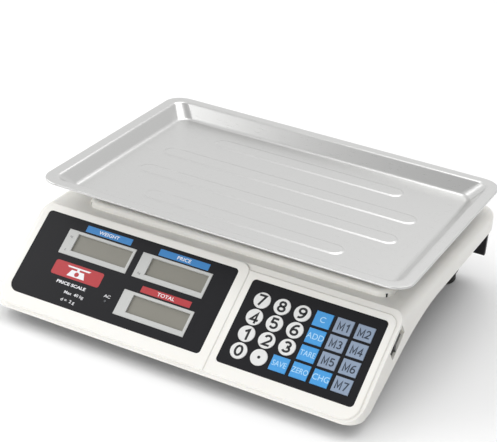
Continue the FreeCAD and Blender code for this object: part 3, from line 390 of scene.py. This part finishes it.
# Unit marks on the left rim of a frame: the display, which end of it, how far up it, and the mark.
UNIT_MARKS = [("weight", "top", 0.75, "kg"), ("weight", "low", 0.12, "g"), ("price", "low", 0.12, "/kg")]
rim_middle = 0.0032
bezel_top = panel_box("lcd_bezels")[1].z
for name, end, share_up, words in UNIT_MARKS:
    low, high = panel_box(name + "_lcd")
    spot = Vector((low.x + rim_middle, low.y + (high.y - low.y) * share_up, bezel_top))
    printed("unit_%s_%s" % (name, end), lettering(words, 0.0018, 1.1), spot, "housing",
            grey_ink)

# ------------------------------------------------------------------ keys
# Twenty-four moulded keys stand just proud of their film: white discs for the digits, blue and grey
# tiles for functions and prices. Each legend is printed on its key and moves with it.

# Polycarbonate keys with a smooth satin top: white, sky blue and slate blue, each with its own ink.
white_key = glossy("key_white", "#e4e4e3", "#dedfde", 0.3, 6)
blue_key = glossy("key_blue", "#469ee0", "#4298d9", 0.3, 6)
grey_key = glossy("key_grey", "#8f9fb5", "#8999b0", 0.3, 6)
digit_ink = ink("ink_black", "#15161a")
pale_ink = ink("ink_pale_blue", "#a9d4f2")
slate_ink = ink("ink_slate", "#2f3a49")


def arc(x, y, wide, tall, start, end, steps=18):
    """Points along part of an ellipse, from one angle to another in degrees."""
    angles = [math.radians(start + (end - start) * i / steps) for i in range(steps + 1)]
    return [(x + wide * math.cos(a), y + tall * math.sin(a)) for a in angles]


# Bold upright numerals and an M as centre lines in a cell 1 high, the way the keys are printed.
STROKES = {
    "0": [arc(0.355, 0.5, 0.2625, 0.4075, 90, 450)],
    "1": [[(0.14, 0.70), (0.43, 0.90), (0.43, 0.0)]],
    "2": [arc(0.355, 0.66, 0.25, 0.2475, 165, -40) + [(0.10, 0.0925), (0.64, 0.0925)]],
    "3": [arc(0.34, 0.7037, 0.235, 0.2037, 155, -90) + arc(0.34, 0.2963, 0.2625, 0.2037, 90, -155)],
    "4": [[(0.48, 0.0), (0.48, 0.88), (0.09, 0.30), (0.70, 0.30)]],
    "5": [[(0.60, 0.9075), (0.165, 0.9075), (0.125, 0.47)], arc(0.345, 0.34, 0.2625, 0.2475, 140, -150)],
    "6": [arc(0.355, 0.32, 0.2625, 0.2275, 90, 450), arc(0.50, 0.36, 0.4075, 0.5475, 180, 75)],
    "7": [[(0.07, 0.9075), (0.64, 0.9075), (0.27, 0.0)]],
    "8": [arc(0.355, 0.7137, 0.22, 0.1938, 90, 450), arc(0.355, 0.3062, 0.2625, 0.2137, 90, 450)],
    "M": [[(0.09, 0.0), (0.09, 0.93), (0.425, 0.22), (0.76, 0.93), (0.76, 0.0)]],
}
STROKES["9"] = [[(0.71 - x, 1 - y) for x, y in stroke] for stroke in STROKES["6"]]


M_ADVANCE = 0.97  # from the left side of an M to the next letter, as a share of its height
DIGIT_ADVANCE = 0.82


def bold_legend(words, tall, wide, thick):
    """A legend of ribbons of ink along the centre lines, centred on the origin."""
    plate = bmesh.new()
    across = 0.0
    for letter in words:
        for stroke in STROKES[letter]:
            spots = [Vector(((x + across) * wide * tall, y * tall, 0)) for x, y in stroke]
            ring = []
            for i, spot in enumerate(spots):
                into = (spot - spots[i - 1]).normalized() if i else (spots[1] - spot).normalized()
                onward = (spots[i + 1] - spot).normalized() if i + 1 < len(spots) else into
                side = (into + onward).normalized().cross(Vector((0, 0, 1)))
                reach = thick / 2 / max(0.4, side.dot(into.cross(Vector((0, 0, 1)))))
                ring.append((plate.verts.new(spot + side * reach), plate.verts.new(spot - side * reach)))
            for (a, b), (c, d) in zip(ring, ring[1:]):
                plate.faces.new((a, b, d, c))
        across += M_ADVANCE if letter == "M" else DIGIT_ADVANCE
    bmesh.ops.recalc_face_normals(plate, faces=plate.faces)
    thicken(plate, INK)
    xs = [v.co.x for v in plate.verts]
    ys = [v.co.y for v in plate.verts]
    centre = Vector(((min(xs) + max(xs)) / 2, (min(ys) + max(ys)) / 2, 0))
    bmesh.ops.translate(plate, vec=-centre, verts=plate.verts)
    bmesh.ops.recalc_face_normals(plate, faces=plate.faces)
    mesh = bpy.data.meshes.new("legend")
    plate.to_mesh(mesh)
    plate.free()
    return mesh


LEGENDS = {"clear": "C", "add": "ADD", "tare": "TARE", "save": "SAVE", "zero": "ZERO", "change": "CHG"}
# Height and stretch of the letters on a blue key, by how many letters it holds.
WORD_SIZES = {1: (0.0050, 1.0), 3: (0.0050, 0.95), 4: (0.0046, 0.84)}
for node in frame["nodes"]:
    if not node.startswith("key_") or node == "key_domes":
        continue
    name = node[4:]
    low, high = panel_box(node)
    top = Vector(((low.x + high.x) / 2, (low.y + high.y) / 2, high.z))
    body = "button_" + name
    if name == "point":
        wear(white_key, node)
        printed("legend_point", ink_outline(disc(0.0013, 24)), top, body, digit_ink)
    elif name.isdigit():
        wear(white_key, node)
        printed("legend_" + name, bold_legend(name, 0.0100, 1.05, 0.0019), top, body, digit_ink)
    elif name[0] == "m":
        wear(grey_key, node)
        memory_legend = bold_legend(name.upper(), 0.0074, 0.84, 0.0011)
        printed("legend_" + name, memory_legend, top, body, slate_ink)
    else:
        wear(blue_key, node)
        words = LEGENDS[name]
        tall, wide = WORD_SIZES[len(words)]
        printed("legend_" + name, lettering(words, tall, wide, 0.00004), top, body, pale_ink)

# ------------------------------------------------------------------ stainless tray
# The tray is pressed from one sheet of stainless steel 0.8 mm thick, with a hemmed rim, sloping walls
# and four long stiffening ribs. The sheet is finished with a fine belt grain that runs along it.

# Belt-ground stainless: pale grey, reflections drawn out across the grain. The real scratches are finer;
# they are drawn coarse, 12 mm long and 0.4 mm apart, so that they show.
stainless = rolled_metal("belt_ground_stainless", "#cfcfce", 0.30, 12, 0.07, stretch=(1, 30, 30))
wear(stainless, "platter")

# ------------------------------------------------------------------ floor, lights and camera
# A pale seamless floor under soft studio lights: one overhead and a little behind, a low one in front of
# the keys and one from the upper left.
low_corner, high_corner = [Vector(corner) for corner in cad_box]
reach = 6.0
floor_level = low_corner.z - 0.0002
floor_corners = [(-reach, -reach, floor_level), (reach, -reach, floor_level),
                 (reach, reach, floor_level), (-reach, reach, floor_level)]
floor_mesh = bpy.data.meshes.new("studio_floor")
floor_mesh.from_pydata(floor_corners, [], [(0, 1, 2, 3)])
studio_floor = bpy.data.objects.new("studio_floor", floor_mesh)
bpy.context.scene.collection.objects.link(studio_floor)
# Seamless paper: an almost white, fully matt sweep with no texture of its own.
paper = new_finish("seamless_paper", "#fcfcfc", 0.9)[0]
floor_mesh.materials.append(paper)


def soft_box(name, size, power, spot, aim):
    """A square area light at `spot` that faces `aim`."""
    light = bpy.data.lights.new(name, "AREA")
    light.shape = "RECTANGLE"
    light.size, light.size_y = size
    light.energy = power
    lamp_object = bpy.data.objects.new(name, light)
    bpy.context.scene.collection.objects.link(lamp_object)
    lamp_object.location = spot
    lamp_object.rotation_euler = (Vector(aim) - Vector(spot)).to_track_quat("-Z", "Y").to_euler()


scale_middle = (0, 0, 0.05)
soft_box("overhead", (1.6, 1.2), 11, (0.3, 0.8, 1.7), scale_middle)
soft_box("front_low", (1.4, 0.8), 13, (-0.1, -1.9, 0.6), scale_middle)
soft_box("left_top", (1.4, 1.4), 12, (-1.5, -0.3, 1.2), scale_middle)

# The studio's walls: brightest behind and to the left of the scale, dimmest to the right of the keys.
world = bpy.data.worlds.new("studio")
bpy.context.scene.world = world
world.use_nodes = True
tree = world.node_tree
place = add(tree, "ShaderNodeTexCoord").outputs["Generated"]
facing = add(tree, "ShaderNodeVectorMath", {0: place, 1: (-0.6, 0.8, 0)}, operation="DOT_PRODUCT")
glow = add(tree, "ShaderNodeMapRange", {"Value": facing.outputs["Value"], "From Min": -1.0, "From Max": 1.0,
                                        "To Min": 0.3, "To Max": 1.0})
tree.nodes["Background"].inputs["Color"].default_value = linear("#ffffff")
tree.links.new(glow.outputs["Result"], tree.nodes["Background"].inputs["Strength"])
bpy.context.scene.view_settings.view_transform = "Standard"

# The camera stands to the right of the person at the keys, above the scale, and is turned a little.
azimuth, elevation, roll = (math.radians(angle) for angle in (24.85, 26.77, 4.99))
aim_point = Vector((0, 0.0255, high_corner.z))
back = Vector((math.sin(azimuth) * math.cos(elevation), -math.cos(azimuth) * math.cos(elevation),
               math.sin(elevation)))
level_right = Vector((math.cos(azimuth), math.sin(azimuth), 0))
level_up = back.cross(level_right)
right = level_right * math.cos(roll) + level_up * math.sin(roll)
up = level_up * math.cos(roll) - level_right * math.sin(roll)
distance = 1.2726
aim_left = 0.02183
aim_down = 0.0328
camera = bpy.data.cameras.new("studio_camera")
camera.sensor_width = 36
camera.lens = 105.65
camera.clip_end = 50
camera_object = bpy.data.objects.new("studio_camera", camera)
bpy.context.scene.collection.objects.link(camera_object)
spot = aim_point + back * distance - right * aim_left - up * aim_down
turn = Matrix((right, up, back)).transposed()
camera_object.matrix_world = Matrix.Translation(spot) @ turn.to_4x4()
bpy.context.scene.camera = camera_object
